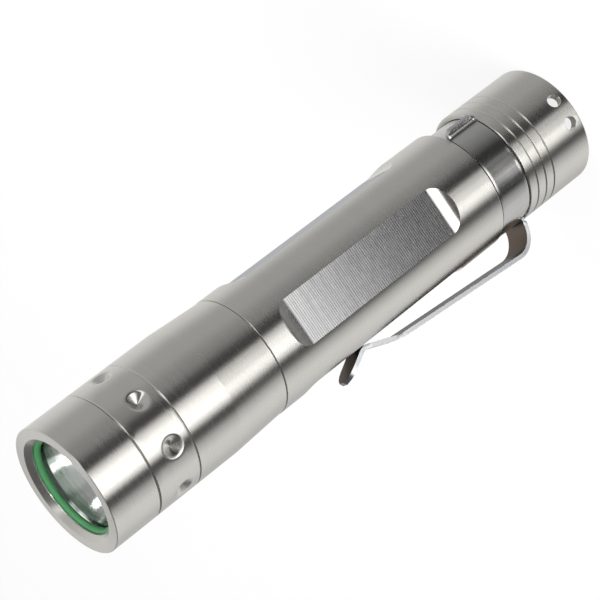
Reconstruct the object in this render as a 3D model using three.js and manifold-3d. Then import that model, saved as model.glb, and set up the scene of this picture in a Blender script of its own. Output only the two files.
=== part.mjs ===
// Stainless pocket flashlight for one round lithium cell.
// Millimetres. +Z points along the beam, and the origin is on the axis at the tail rim.
// One flat of the body faces -Y, and the pocket clip lies along the flat that faces -X.

import * as THREE from 'three';
import { mergeVertices } from 'three/addons/utils/BufferGeometryUtils.js';
import Module from 'manifold-3d';

const wasm = await Module();
wasm.setup();

// Fits
const slideFit = 0.1; // radial, between turned faces that screw or slide
const seatGap = 0.05; // between faces that rest on each other
const endGap = 0.2; // beyond the end of a screwed-in thread
const facets = 48; // sides of a turned piece
const smallFacets = 32; // sides of a small inner piece

// Cell
const cellRadius = 9.2;
const cellLength = 63.7;
const contactRadius = 3.1;
const contactHeight = 1.5;
const contactFlange = 1; // foot of the contact, in the opening of the wrap
const wrapEdge = 0.35; // wrap turned in over both ends of the cell
const wrapReach = 1.6;

// Tube walls and edges
const cellClearance = 0.2;
const bodyWall = 2.6;
const neckWall = 1.5;
const threadWall = 1.2;
const edgeChamfer = 0.15;
const neckLength = 7.65; // bare neck between tail cap and shoulder, where the clip sits
const frontThreadLength = 7;

// Milled flats of the body
const flatCount = 4;
const flatDepth = 0.94;
const flatEndRadius = 5.5;
const rearLand = 9.1; // round body left behind the flats
const frontLand = 4.9; // round body left in front of them

// Seals of the two threads
const sealSection = 0.62;
const sealGrooveDepth = 0.7;
const sealGrooveWidth = 0.9;
const sealInset = 0.7; // from the face of the cap or the head

// Turned lines
const lineWidth = 0.4;
const lineDepth = 0.22;

// Tail cap
const capLength = 16.75;
const capChamfer = 0.25;
const skirtWall = 1.4;
const recessDepth = 4.5;
const webThickness = 1;
const sealBoreLength = 2.6;
const capLineInset = 2.15; // first line, from the front edge
const capLinePitch = 2.25;
const capLineCount = 3;
const lanyardRadius = 1.32;
const lanyardHeight = 2.6;
const lanyardAngle = -85.8;
const lanyardSpread = 25;

// Switch
const pocketRadius = 9.5;
const buttonRadius = 4.7;
const buttonRecess = 1.6; // button top behind the tail rim, so that the light can stand
const buttonRise = 1; // of its domed top
const buttonClearance = 0.3; // to the hole in the web
const bootWall = 0.9;
const bootFlange = 0.8;
const washerThickness = 0.4;
const switchWidth = 8.4;
const switchHeight = 2.8;
const switchWall = 0.4;
const plungerRadius = 2;
const plungerFootRadius = 3;
const plungerFoot = 0.25;
const switchSpringRadius = 2.4;
const switchSpringWire = 0.2;
const switchSpringCurls = 2;
const tailBoardThickness = 1;
const ringThickness = 0.8;
const ringWidth = 1.9;
const slotWidth = 1.6; // spanner slots of the two retaining rings

// Contact springs
const tailSpringHeight = 7.8;
const tailSpringBase = 6.4;
const tailSpringTop = 3.6;
const tailSpringCurls = 5;
const tailSpringWire = 0.9;
const driverSpringHeight = 6.3;
const driverSpringBase = 4.2;
const driverSpringTop = 2.6;
const driverSpringCurls = 4;
const driverSpringWire = 0.7;

// Head
const reflectorRadius = 10.2; // lens, reflector and pill share this outer radius
const headWall = 2.2;
const taperLength = 11.3;
const neckStep = 0.1; // head edge below the body surface at the seam
const stopThickness = 1;
const stopWidth = 0.6;
const stopGap = 0.6;
const headLineDrop = 9.1; // from the bezel seam
const dimpleCount = 8;
const dimpleDrop = 5.4; // from the bezel seam
const dimpleRadius = 2;
const dimpleDepth = 1.45;
const dimpleAngle = 28.7;
const bezelThreadWall = 0.9;
const bezelThreadLength = 3.5;

// Pill, driver and light source
const pillHeight = 10;
const pillWall = 1.4;
const pillPlate = 3;
const driverLedge = 0.8;
const driverThickness = 1.6;
const driverRingThickness = 0.9;
const driverRingWidth = 1.2;
const ledBoardInset = 1.8; // from the outside of the pill
const ledBoardThickness = 1.4;
const ledWidth = 4.8;
const ledBase = 0.6;
const domeRadius = 1.9;
const gasketWall = 0.9;
const gasketHeight = 1.2;
const wireRadius = 0.45;
const wireHoleRadius = 0.8;
const wireInset = 2.3; // from the edge of the driver
const wireReach = 1.2; // from the hole in towards the solder pad

// Optics
const reflectorDepth = 14.2;
const reflectorRim = 1.1; // flat rim round the mouth
const reflectorThroat = 3.6;
const reflectorWall = 0.8;
const reflectorFlange = 0.9;
const lensThickness = 1.6;
const lensChamfer = 0.2;

// Bezel
const frontSealSection = 1.44;
const frontSealInset = 0.03; // seal inside the edge of the lens
const bezelLength = 9.7;
const bezelLipWidth = 0.9; // lip over the seal
const bezelLip = 0.3;
const bevelWidth = 1.05;
const bevelDepth = 0.9;

// Pocket clip
const clipThickness = 0.8;
const clipEndGap = 0.25; // to the cap and to the shoulder
const clipGapAngle = 76; // opening of the ring, opposite the arm
const lipHeight = 2; // turned-out ends of the ring, above its middle surface
const lipRound = 1.8;
const clipRootWidth = 6.6;
const clipTipWidth = 4.8;
const clipRise = 4.75; // middle of the strip above the body, at the bend
const clipFall = 4.4; // slope of the arm towards the body, in degrees
const clipBendRadius = 4.8;
const clipRootRadius = 0.6;
const clipContactInset = 15.5; // contact point from the front end of the flat
const clipContactGap = 0.3;
const clipKneeLength = 7.6; // knee to contact
const clipTipLength = 6.3; // contact to tip
const clipTipRise = 3.1; // middle of the tip above the body
const clipFormRadius = 2.2; // round of the knee and of the contact
const reliefDepth = 1.3; // notch beside the root of the arm
const reliefLength = 3.4;

// Radii that follow
const boreRadius = cellRadius + cellClearance;
const bodyRadius = boreRadius + bodyWall;
const neckRadius = boreRadius + neckWall;
const threadRadius = boreRadius + threadWall;
const headBore = reflectorRadius + slideFit;
const headRadius = headBore + headWall;
const headNeckRadius = bodyRadius - neckStep;
const bezelThreadRadius = headBore + bezelThreadWall;
const bezelOpening = headBore - bezelLipWidth;
const frontSealRadius = reflectorRadius - frontSealInset - frontSealSection / 2;
const reflectorMouth = reflectorRadius - reflectorRim;
const ledBoardRadius = reflectorRadius - ledBoardInset;
const driverRadius = reflectorRadius - pillWall - slideFit;
const wireOffset = driverRadius - wireInset;
const flatDistance = bodyRadius - flatDepth;
const skirtRadius = bodyRadius - skirtWall;

// Heights that follow, from the tail rim to the front of the bezel
const webTop = recessDepth + webThickness;
const bootZ = webTop + seatGap;
const washerZ = bootZ + bootFlange + seatGap;
const switchZ = washerZ + washerThickness + seatGap;
const tailBoardZ = switchZ + switchHeight + seatGap;
const ringZ = tailBoardZ + tailBoardThickness + seatGap;
const pocketTop = ringZ + ringThickness;
const tubeRearZ = pocketTop + endGap;
const tailSpringZ = tailBoardZ + tailBoardThickness + seatGap;
const cellZ = tailSpringZ + tailSpringHeight + seatGap;
const shoulderZ = capLength + neckLength;
const driverSpringZ = cellZ + cellLength + contactHeight + seatGap;
const driverZ = driverSpringZ + driverSpringHeight + seatGap;
const pillZ = driverZ - seatGap - driverRingThickness;
const stopZ = pillZ - seatGap - stopThickness;
const seamZ = stopZ - stopGap - frontThreadLength;
const ledBoardZ = pillZ + pillHeight + seatGap;
const ledZ = ledBoardZ + ledBoardThickness + seatGap;
const reflectorZ = ledZ + gasketHeight + seatGap;
const lensZ = reflectorZ + reflectorDepth + seatGap;
const frontSealZ = lensZ + lensThickness + seatGap;
const lipZ = frontSealZ + frontSealSection + seatGap;
const frontZ = lipZ + bezelLip + bevelDepth;
const bezelZ = frontZ - bezelLength;
const flatRearZ = shoulderZ + rearLand;
const flatFrontZ = seamZ - frontLand;

// A three.js geometry as a solid that can be cut and joined
function solid(geometry) {
  const bare = geometry.index ? geometry.clone() : mergeVertices(geometry);
  for (const name of Object.keys(bare.attributes)) {
    if (name !== 'position') bare.deleteAttribute(name);
  }
  const merged = mergeVertices(bare, 1e-4);
  const index = merged.index.array;
  const triangles = [];
  for (let i = 0; i < index.length; i += 3) {
    const [a, b, c] = [index[i], index[i + 1], index[i + 2]];
    if (a !== b && b !== c && c !== a) triangles.push(a, b, c);
  }
  const build = (triVerts) => new wasm.Manifold(new wasm.Mesh({
    numProp: 3,
    vertProperties: new Float32Array(merged.attributes.position.array),
    triVerts: new Uint32Array(triVerts),
  }));
  const shape = build(triangles);
  return shape.volume() > 0 ? shape : build(triangles.reverse());
}

function geometryOf(shape) {
  const mesh = shape.getMesh();
  const geometry = new THREE.BufferGeometry();
  geometry.setAttribute('position', new THREE.BufferAttribute(mesh.vertProperties, 3));
  geometry.setIndex(new THREE.BufferAttribute(mesh.triVerts, 1));
  geometry.computeVertexNormals();
  return geometry;
}

// A piece turned about Z from [radius, height] points: a closed section, or one that meets the axis
function turned(section, sides = facets) {
  const points = section.map(([radius, height]) => new THREE.Vector2(radius, height));
  const first = points[0];
  const onAxis = first.x === 0 && points[points.length - 1].x === 0;
  if (!onAxis) points.push(first.clone());
  return solid(new THREE.LatheGeometry(points, sides).rotateX(Math.PI / 2));
}

function disc(radius, height, sides = smallFacets) {
  return turned([[0, 0], [radius, 0], [radius, height], [0, height]], sides);
}

function ring(inner, outer, height, sides = smallFacets) {
  return turned([[inner, 0], [outer, 0], [outer, height], [inner, height]], sides);
}

function seal(radius, section, sides, tubeSides) {
  const points = [];
  for (let i = 0; i < tubeSides; i++) {
    const angle = (2 * Math.PI * i) / tubeSides;
    const out = radius + (section / 2) * Math.cos(angle);
    points.push([out, section / 2 + (section / 2) * Math.sin(angle)]);
  }
  return turned(points, sides);
}

// An upright or radial drill of the given radius
function drill(radius, length, sides = 16) {
  return new THREE.CylinderGeometry(radius, radius, length, sides).rotateX(Math.PI / 2);
}

function radialAt(geometry, degrees, distance, height) {
  geometry.rotateY(Math.PI / 2);
  geometry.translate(distance, 0, height);
  return geometry.rotateZ(THREE.MathUtils.degToRad(degrees));
}

// The points of a shallow turned line on a cylinder, from below upwards
function turnedLine(radius, height) {
  return [
    [radius, height - lineWidth / 2],
    [radius - lineDepth, height],
    [radius, height + lineWidth / 2],
  ];
}

// A line through corners, each rounded by its own radius
function roundedLine(corners) {
  const points = [];
  corners.forEach(({ at, round }, i) => {
    if (!round) {
      points.push(at);
      return;
    }
    const before = corners[i - 1].at.clone().sub(at).normalize();
    const after = corners[i + 1].at.clone().sub(at).normalize();
    const half = before.angleTo(after) / 2;
    const middle = before.clone().add(after).normalize();
    const centre = at.clone().addScaledVector(middle, round / Math.sin(half));
    const start = at.clone().addScaledVector(before, round / Math.tan(half)).sub(centre);
    const sweep = (Math.PI - 2 * half) * Math.sign(before.cross(after));
    const steps = Math.max(3, Math.ceil(Math.abs(sweep) / 0.25));
    for (let k = 0; k <= steps; k++) {
      const spoke = start.clone().rotateAround(new THREE.Vector2(), (-sweep * k) / steps);
      points.push(spoke.add(centre));
    }
  });
  return points;
}

// A strip of even thickness along a line of points
function stripShape(points, thickness) {
  const side = (sign) => points.map((point, i) => {
    const from = points[Math.max(i - 1, 0)];
    const to = points[Math.min(i + 1, points.length - 1)];
    const along = to.clone().sub(from).normalize();
    return new THREE.Vector2(-along.y, along.x).multiplyScalar((sign * thickness) / 2).add(point);
  });
  return new THREE.Shape([...side(1), ...side(-1).reverse()]);
}

function extruded(shape, depth) {
  return new THREE.ExtrudeGeometry(shape, { depth, bevelEnabled: false, curveSegments: 10 });
}

// A wire coil rising from Z = 0, its middle line at a radius that goes from base to top
const curlSteps = 8;
const wireSides = 5;

function coilSpring(name, { base, top, wire, curls, height }) {
  const steps = curls * curlSteps;
  const middle = [];
  for (let i = 0; i <= steps; i++) {
    const share = i / steps;
    const angle = (2 * Math.PI * i) / curlSteps;
    const radius = base + (top - base) * share;
    const rise = wire / 2 + (height - wire) * share;
    middle.push(new THREE.Vector3(radius * Math.cos(angle), radius * Math.sin(angle), rise));
  }
  printLeastGap(name, middle, wire);
  const positions = [];
  middle.forEach((point, i) => {
    const along = middle[Math.min(i + 1, steps)].clone().sub(middle[Math.max(i - 1, 0)]).normalize();
    const out = new THREE.Vector3(point.x, point.y, 0).normalize();
    const up = along.clone().cross(out).normalize();
    const side = up.clone().cross(along);
    for (let k = 0; k < wireSides; k++) {
      const angle = (2 * Math.PI * k) / wireSides;
      const spoke = side.clone().multiplyScalar(Math.cos(angle)).addScaledVector(up, Math.sin(angle));
      positions.push(...spoke.multiplyScalar(wire / 2).add(point).toArray());
    }
  });
  const index = [];
  for (let i = 0; i < steps; i++) {
    for (let k = 0; k < wireSides; k++) {
      const here = i * wireSides;
      const next = (k + 1) % wireSides;
      index.push(here + k, here + next, here + wireSides + k);
      index.push(here + next, here + wireSides + next, here + wireSides + k);
    }
  }
  for (let k = 1; k < wireSides - 1; k++) {
    const end = steps * wireSides;
    index.push(0, k + 1, k);
    index.push(end, end + k, end + k + 1);
  }
  const geometry = new THREE.BufferGeometry();
  geometry.setAttribute('position', new THREE.Float32BufferAttribute(positions, 3));
  geometry.setIndex(index);
  return solid(geometry);
}

function printLeastGap(name, middle, wire) {
  let least = Infinity;
  for (let i = 0; i < middle.length; i++) {
    for (let j = i + curlSteps - 2; j < middle.length; j++) {
      least = Math.min(least, middle[i].distanceTo(middle[j]) - wire);
    }
  }
  console.log(`${name}: least gap between curls ${least.toFixed(2)} mm`);
}

// Bezel: flat rim, inner bevel, lip over the seal, pocket for the lens and a female thread
function makeBezel() {
  const bore = bezelThreadRadius + slideFit;
  const lip = lipZ - bezelZ;
  const step = bezelThreadLength + endGap;
  return turned([
    [bore, 0],
    [headRadius - edgeChamfer, 0],
    [headRadius, edgeChamfer],
    [headRadius, bezelLength - edgeChamfer],
    [headRadius - edgeChamfer, bezelLength],
    [bezelOpening + bevelWidth, bezelLength],
    [bezelOpening, bezelLength - bevelDepth],
    [bezelOpening, lip],
    [headBore, lip],
    [headBore, step],
    [bore, step],
  ]);
}

// Head: rear taper, one turned line, a row of drilled dimples, a stop for the pill inside
function makeHeadShell() {
  const top = bezelZ - seatGap - seamZ;
  const rearBore = threadRadius + slideFit;
  const stop = stopZ - seamZ;
  const shell = turned([
    [rearBore, seatGap],
    [headNeckRadius - edgeChamfer, seatGap],
    [headNeckRadius, seatGap + edgeChamfer],
    [headRadius, taperLength],
    ...turnedLine(headRadius, top - headLineDrop),
    [headRadius, top - edgeChamfer],
    [headRadius - edgeChamfer, top],
    [bezelThreadRadius, top],
    [bezelThreadRadius, top + bezelThreadLength],
    [headBore, top + bezelThreadLength],
    [headBore, stop + stopThickness],
    [headBore - stopWidth, stop + stopThickness],
    [headBore - stopWidth, stop],
    [rearBore, stop],
  ]);
  let cut = shell;
  for (let i = 0; i < dimpleCount; i++) {
    const cone = new THREE.ConeGeometry(2 * dimpleRadius, 2 * dimpleDepth, 16);
    cone.rotateX(-Math.PI / 2);
    const angle = dimpleAngle + (360 * i) / dimpleCount;
    cut = cut.subtract(solid(radialAt(cone, angle, headRadius, top - dimpleDrop)));
  }
  return cut;
}

// Reflector: a parabola from the throat to the mouth, with a flange under the lens
function makeReflector() {
  const steps = 8;
  const spread = (reflectorMouth ** 2 - reflectorThroat ** 2) / reflectorDepth;
  const inner = [];
  for (let i = 0; i <= steps; i++) {
    const height = (reflectorDepth * i) / steps;
    inner.push([Math.sqrt(reflectorThroat ** 2 + spread * height), height]);
  }
  const flangeFoot = reflectorDepth - reflectorFlange;
  const outer = inner.filter(([, height]) => height < flangeFoot - reflectorFlange)
    .map(([radius, height]) => [radius + reflectorWall, height]).reverse();
  return turned([
    ...inner,
    [reflectorRadius, reflectorDepth],
    [reflectorRadius, flangeFoot],
    ...outer,
  ], 40);
}

function makeLens() {
  return turned([
    [0, 0],
    [reflectorRadius - lensChamfer, 0],
    [reflectorRadius, lensChamfer],
    [reflectorRadius, lensThickness - lensChamfer],
    [reflectorRadius - lensChamfer, lensThickness],
    [0, lensThickness],
  ], 40);
}

// The two wires pass through these holes of the pill and of the light source's board
function drilledForWires(piece) {
  let cut = piece;
  for (const side of [-1, 1]) {
    const hole = drill(wireHoleRadius, 4 * pillHeight, 12).translate(side * wireOffset, 0, 0);
    cut = cut.subtract(solid(hole));
  }
  return cut;
}

// Pill: a cup whose plate carries the light source and whose skirt holds the driver
function makePill() {
  const skirt = reflectorRadius - pillWall;
  const ledge = driverZ + driverThickness + seatGap - pillZ;
  return drilledForWires(turned([
    [0, pillHeight - pillPlate],
    [skirt - driverLedge, pillHeight - pillPlate],
    [skirt - driverLedge, ledge],
    [skirt, ledge],
    [skirt, 0],
    [reflectorRadius, 0],
    [reflectorRadius, pillHeight],
    [0, pillHeight],
  ], 40));
}

function makeLedEmitter() {
  const base = new THREE.BoxGeometry(ledWidth, ledWidth, ledBase).translate(0, 0, ledBase / 2);
  const dome = solid(new THREE.SphereGeometry(domeRadius, 20, 12).translate(0, 0, ledBase));
  const above = new THREE.BoxGeometry(ledWidth, ledWidth, domeRadius + ledBase);
  above.translate(0, 0, (domeRadius + ledBase) / 2 + ledBase / 2);
  return solid(base).add(dome.intersect(solid(above)));
}

function makeGasket() {
  const inner = (ledWidth * Math.SQRT2) / 2 + slideFit;
  return ring(inner, inner + gasketWall, gasketHeight, 24);
}

// A wire that rises from the driver and bends over on to its pad
function makeLedWire(side) {
  const foot = driverZ + driverThickness + seatGap;
  const over = ledZ + wireRadius;
  const route = new THREE.CatmullRomCurve3([
    [wireOffset, foot],
    [wireOffset, foot + pillPlate],
    [wireOffset, ledBoardZ],
    [wireOffset - wireReach / 4, over - wireRadius / 4],
    [wireOffset - wireReach, over],
  ].map(([x, z]) => new THREE.Vector3(side * x, 0, z)));
  const section = new THREE.Shape();
  section.absarc(0, 0, wireRadius, 0, 2 * Math.PI);
  const settings = { steps: 14, bevelEnabled: false, extrudePath: route, curveSegments: 4 };
  return solid(new THREE.ExtrudeGeometry(section, settings));
}

// A retaining ring with two spanner slots across its outer face
function makeSlottedRing(radius, width, thickness) {
  let cut = ring(radius - width, radius, thickness);
  const slot = new THREE.BoxGeometry(3 * radius, slotWidth, thickness);
  cut = cut.subtract(solid(slot.translate(0, 0, thickness)));
  return cut;
}

// Body: male threads with seal grooves at both ends, a neck for the clip and four milled flats
function makeBodyTube() {
  const end = seamZ + frontThreadLength;
  const neckFoot = capLength - sealBoreLength;
  const rearSeal = capLength - sealInset;
  const frontSeal = seamZ + sealInset;
  let tube = turned([
    [boreRadius, tubeRearZ],
    [threadRadius - edgeChamfer, tubeRearZ],
    [threadRadius, tubeRearZ + edgeChamfer],
    [threadRadius, neckFoot + endGap],
    [neckRadius, neckFoot + endGap],
    [neckRadius, rearSeal - sealGrooveWidth],
    [neckRadius - sealGrooveDepth, rearSeal - sealGrooveWidth],
    [neckRadius - sealGrooveDepth, rearSeal],
    [neckRadius, rearSeal],
    [neckRadius, shoulderZ],
    [bodyRadius - edgeChamfer, shoulderZ],
    [bodyRadius, shoulderZ + edgeChamfer],
    [bodyRadius, seamZ - edgeChamfer],
    [bodyRadius - edgeChamfer, seamZ],
    [threadRadius, seamZ],
    [threadRadius, frontSeal],
    [threadRadius - sealGrooveDepth, frontSeal],
    [threadRadius - sealGrooveDepth, frontSeal + sealGrooveWidth],
    [threadRadius, frontSeal + sealGrooveWidth],
    [threadRadius, end - edgeChamfer],
    [threadRadius - edgeChamfer, end],
    [boreRadius, end],
  ]);
  for (let i = 0; i < flatCount; i++) tube = tube.subtract(flatCutter((360 * i) / flatCount));
  return tube;
}

// What the mill takes away for one flat: level along the middle, run out in an arc at each end
function flatCutter(degrees) {
  const above = flatDepth + 1;
  const arcLength = (depth) => Math.sqrt(flatEndRadius ** 2 - (flatEndRadius - depth) ** 2);
  const rear = flatRearZ + arcLength(flatDepth);
  const front = flatFrontZ - arcLength(flatDepth);
  const tilt = Math.acos((flatEndRadius - above) / flatEndRadius);
  const outline = new THREE.Shape();
  outline.moveTo(0, rear);
  outline.lineTo(0, front);
  outline.absarc(flatEndRadius, front, flatEndRadius, Math.PI, Math.PI - tilt, true);
  outline.lineTo(above, rear - arcLength(above));
  outline.absarc(flatEndRadius, rear, flatEndRadius, Math.PI + tilt, Math.PI, true);
  const cutter = extruded(outline, 2 * bodyRadius);
  cutter.rotateX(Math.PI / 2);
  cutter.translate(flatDistance, bodyRadius, 0);
  return solid(cutter.rotateZ(THREE.MathUtils.degToRad(degrees)));
}

// Cell: a wrapped can with a shallow recess inside the wrap's edge at each end
function makeBatteryCell() {
  return turned([
    [0, wrapEdge],
    [cellRadius - wrapReach, wrapEdge],
    [cellRadius - wrapReach, 0],
    [cellRadius - wrapEdge, 0],
    [cellRadius, wrapEdge],
    [cellRadius, cellLength - wrapEdge],
    [cellRadius - wrapEdge, cellLength],
    [cellRadius - wrapReach, cellLength],
    [cellRadius - wrapReach, cellLength - wrapEdge],
    [0, cellLength - wrapEdge],
  ]);
}

function makeBatteryContact() {
  const flange = contactRadius + contactFlange;
  return turned([
    [0, seatGap - wrapEdge],
    [flange, seatGap - wrapEdge],
    [flange, 0],
    [contactRadius, wrapEdge],
    [contactRadius, contactHeight - wrapEdge],
    [contactRadius - wrapEdge, contactHeight],
    [0, contactHeight],
  ], 24);
}

// Tail cap: open skirt, web with the button hole, switch pocket, thread and a bore for the seal
function makeTailcap() {
  const sealBore = neckRadius + slideFit;
  const threadBore = threadRadius + slideFit;
  const lines = [];
  for (let i = capLineCount - 1; i >= 0; i--) {
    lines.push(...turnedLine(bodyRadius, capLength - capLineInset - i * capLinePitch));
  }
  let cap = turned([
    [skirtRadius + edgeChamfer, 0],
    [bodyRadius - capChamfer, 0],
    [bodyRadius, capChamfer],
    ...lines,
    [bodyRadius, capLength - capChamfer],
    [bodyRadius - capChamfer, capLength],
    [sealBore, capLength],
    [sealBore, capLength - sealBoreLength],
    [threadBore, capLength - sealBoreLength],
    [threadBore, pocketTop],
    [pocketRadius, pocketTop],
    [pocketRadius, webTop],
    [buttonRadius + buttonClearance, webTop],
    [buttonRadius + buttonClearance, recessDepth],
    [skirtRadius, recessDepth],
    [skirtRadius, edgeChamfer],
  ]);
  for (const side of [-1, 1]) {
    const angle = lanyardAngle + (side * lanyardSpread) / 2;
    const hole = radialAt(drill(lanyardRadius, 4 * skirtWall), angle, bodyRadius, lanyardHeight);
    cap = cap.subtract(solid(hole));
  }
  return cap;
}

// Button cover: a hollow post with a domed top, on a flange
function makeSwitchBoot() {
  const steps = 4;
  const dome = (radius, top) => Array.from({ length: steps + 1 }, (unused, i) => {
    const angle = (Math.PI * i) / (2 * steps);
    return [radius * Math.sin(angle), top + buttonRise * (1 - Math.cos(angle))];
  });
  return turned([
    ...dome(buttonRadius, buttonRecess),
    [buttonRadius, bootZ],
    [pocketRadius - slideFit, bootZ],
    [pocketRadius - slideFit, bootZ + bootFlange],
    [buttonRadius - bootWall, bootZ + bootFlange],
    ...dome(buttonRadius - bootWall, buttonRecess + bootWall).reverse(),
  ]);
}

// Plunger: a stem inside the button cover on a foot inside the switch
function makeSwitchPlunger() {
  const sag = buttonRise * (plungerRadius / (buttonRadius - bootWall)) ** 2;
  const tip = buttonRecess + bootWall + sag;
  const foot = switchZ + switchWall + seatGap;
  return turned([
    [0, tip],
    [plungerRadius, tip],
    [plungerRadius, foot],
    [plungerFootRadius, foot],
    [plungerFootRadius, foot + plungerFoot],
    [0, foot + plungerFoot],
  ], 24);
}

function makeSwitchHousing() {
  const block = new THREE.BoxGeometry(switchWidth, switchWidth, switchHeight);
  const room = switchHeight - 2 * switchWall;
  const cavity = drill(plungerFootRadius + slideFit, room, 24);
  const mouth = drill(plungerRadius + slideFit, switchHeight, 24).translate(0, 0, -switchHeight / 2);
  return solid(block).subtract(solid(cavity)).subtract(solid(mouth));
}

// Pocket clip: a C-ring round the neck and an arm that bends back over the body
function makePocketClip() {
  const inner = neckRadius + slideFit;
  const middle = inner + clipThickness / 2;
  const foot = capLength + clipEndGap;
  const top = shoulderZ - clipEndGap;
  const band = solid(extruded(ringOutline(middle), top - foot).translate(0, 0, foot));
  return band.subtract(reliefs(inner, foot)).add(clipArm(middle, foot));
}

// The ring seen from its end, open towards +X, its ends turned out
function ringOutline(middle) {
  const start = THREE.MathUtils.degToRad(clipGapAngle / 2);
  const onCircle = (angle, radius) => new THREE.Vector2(radius * Math.cos(angle), radius * Math.sin(angle));
  const blend = lipRound / middle;
  const steps = 40;
  const half = [onCircle(start, middle + lipHeight)];
  const turn = new THREE.QuadraticBezierCurve(
    onCircle(start, middle + lipRound), onCircle(start, middle), onCircle(start + blend, middle));
  half.push(...turn.getPoints(4));
  for (let i = 1; i <= steps / 2; i++) {
    half.push(onCircle(start + blend + ((Math.PI - start - blend) * 2 * i) / steps, middle));
  }
  const mirrored = half.slice(0, -1).reverse().map((point) => new THREE.Vector2(point.x, -point.y));
  return stripShape([...half, ...mirrored], clipThickness);
}

// Wedge notches in the tail edge of the ring, one on each side of the arm
function reliefs(inner, foot) {
  const near = clipRootWidth / 2;
  const wedge = new THREE.Shape([
    new THREE.Vector2(near, foot - clipEndGap),
    new THREE.Vector2(near + reliefLength, foot - clipEndGap),
    new THREE.Vector2(near, foot + reliefDepth),
  ]);
  const cutter = extruded(wedge, inner);
  cutter.rotateX(Math.PI / 2);
  cutter.rotateZ(-Math.PI / 2);
  const one = solid(cutter.translate(-inner / 2, 0, 0));
  return one.add(one.mirror([0, 1, 0]));
}

// The arm: a strip bent in the XZ plane, narrowing to a round tip
function clipArm(middle, foot) {
  const half = clipThickness / 2;
  const low = foot + half;
  const bend = bodyRadius + clipRise;
  const contactZ = flatFrontZ - clipContactInset;
  const kneeZ = contactZ - clipKneeLength;
  const fall = Math.tan(THREE.MathUtils.degToRad(clipFall));
  const contact = flatDistance + clipContactGap + half;
  const tip = new THREE.Vector2(bodyRadius + clipTipRise, contactZ + clipTipLength);
  const bendZ = low + clipBendRadius;
  const along = (z) => bend - fall * (z - bendZ);
  const line = roundedLine([
    { at: new THREE.Vector2(middle, low + clipRootRadius + half) },
    { at: new THREE.Vector2(middle, low), round: clipRootRadius },
    { at: new THREE.Vector2(along(low), low), round: clipBendRadius },
    { at: new THREE.Vector2(along(kneeZ), kneeZ), round: clipFormRadius },
    { at: new THREE.Vector2(contact, contactZ), round: clipFormRadius },
    { at: tip },
  ]);
  const profile = extruded(stripShape(line, clipThickness), clipRootWidth);
  profile.rotateX(Math.PI / 2);
  profile.translate(0, clipRootWidth / 2, 0);
  const root = clipRootWidth / 2;
  const end = clipTipWidth / 2;
  const plan = new THREE.Shape();
  plan.moveTo(-root, foot - clipThickness);
  plan.lineTo(root, foot - clipThickness);
  plan.lineTo(root, bendZ);
  plan.lineTo(end, tip.y - end);
  plan.absarc(0, tip.y - end + half, end, 0, Math.PI);
  plan.lineTo(-root, bendZ);
  const outline = extruded(plan, bend + clipThickness);
  outline.rotateX(Math.PI / 2);
  outline.rotateZ(Math.PI / 2);
  const arm = solid(profile).intersect(solid(outline));
  return arm.mirror([1, 0, 0]);
}

// Finishes
function finish(color, roughness, metalness) {
  return new THREE.MeshStandardMaterial({ color, roughness, metalness });
}

const steel = { color: 0xb9b8b4, roughness: 0.3, metalness: 1 };
const springSteel = { color: 0xc3c5c8, roughness: 0.18, metalness: 1 };
const bronze = { color: 0xb98d5c, roughness: 0.35, metalness: 1 };
const aluminium = { color: 0xa9abae, roughness: 0.4, metalness: 1 };
const mirror = { color: 0xe8eaeb, roughness: 0.06, metalness: 1 };
const glass = { color: 0xe4eeee, roughness: 0.03, metalness: 0 };
const greenRubber = { color: 0x3d9656, roughness: 0.5, metalness: 0 };
const blackRubber = { color: 0x1d1d1e, roughness: 0.7, metalness: 0 };
const whiteResin = { color: 0xe9e9e4, roughness: 0.5, metalness: 0 };
const boardGreen = { color: 0x1f4a33, roughness: 0.5, metalness: 0 };
const phosphor = { color: 0xe6d253, roughness: 0.3, metalness: 0 };
const blackResin = { color: 0x26262a, roughness: 0.5, metalness: 0 };
const wrap = { color: 0x55616e, roughness: 0.45, metalness: 0 };
const redSleeve = { color: 0xb02a22, roughness: 0.5, metalness: 0 };

// Assembly
const flashlight = new THREE.Group();
const head = new THREE.Group();
const body = new THREE.Group();
const tail = new THREE.Group();
flashlight.add(head, body, tail);

function place(group, name, shape, { color, roughness, metalness }, height = 0) {
  const mesh = new THREE.Mesh(geometryOf(shape), finish(color, roughness, metalness));
  mesh.name = name;
  mesh.position.z = height;
  group.add(mesh);
}

place(head, 'bezel', makeBezel(), steel, bezelZ);
place(head, 'front_o_ring', seal(frontSealRadius, frontSealSection, 40, 10), greenRubber, frontSealZ);
place(head, 'lens', makeLens(), glass, lensZ);
place(head, 'reflector', makeReflector(), mirror, reflectorZ);
place(head, 'led_gasket', makeGasket(), whiteResin, ledZ);
place(head, 'led_emitter', makeLedEmitter(), phosphor, ledZ);
place(head, 'led_board', drilledForWires(disc(ledBoardRadius, ledBoardThickness)), whiteResin, ledBoardZ);
place(head, 'led_wire_red', makeLedWire(1), redSleeve);
place(head, 'led_wire_black', makeLedWire(-1), blackRubber);
place(head, 'pill', makePill(), aluminium, pillZ);
place(head, 'driver_board', disc(driverRadius, driverThickness), boardGreen, driverZ);
const driverRing = makeSlottedRing(driverRadius, driverRingWidth, driverRingThickness);
place(head, 'driver_ring', driverRing, bronze, pillZ);
place(head, 'driver_spring', coilSpring('driver_spring', {
  base: driverSpringTop,
  top: driverSpringBase,
  wire: driverSpringWire,
  curls: driverSpringCurls,
  height: driverSpringHeight,
}), bronze, driverSpringZ);
place(head, 'head_shell', makeHeadShell(), steel, seamZ);

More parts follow.
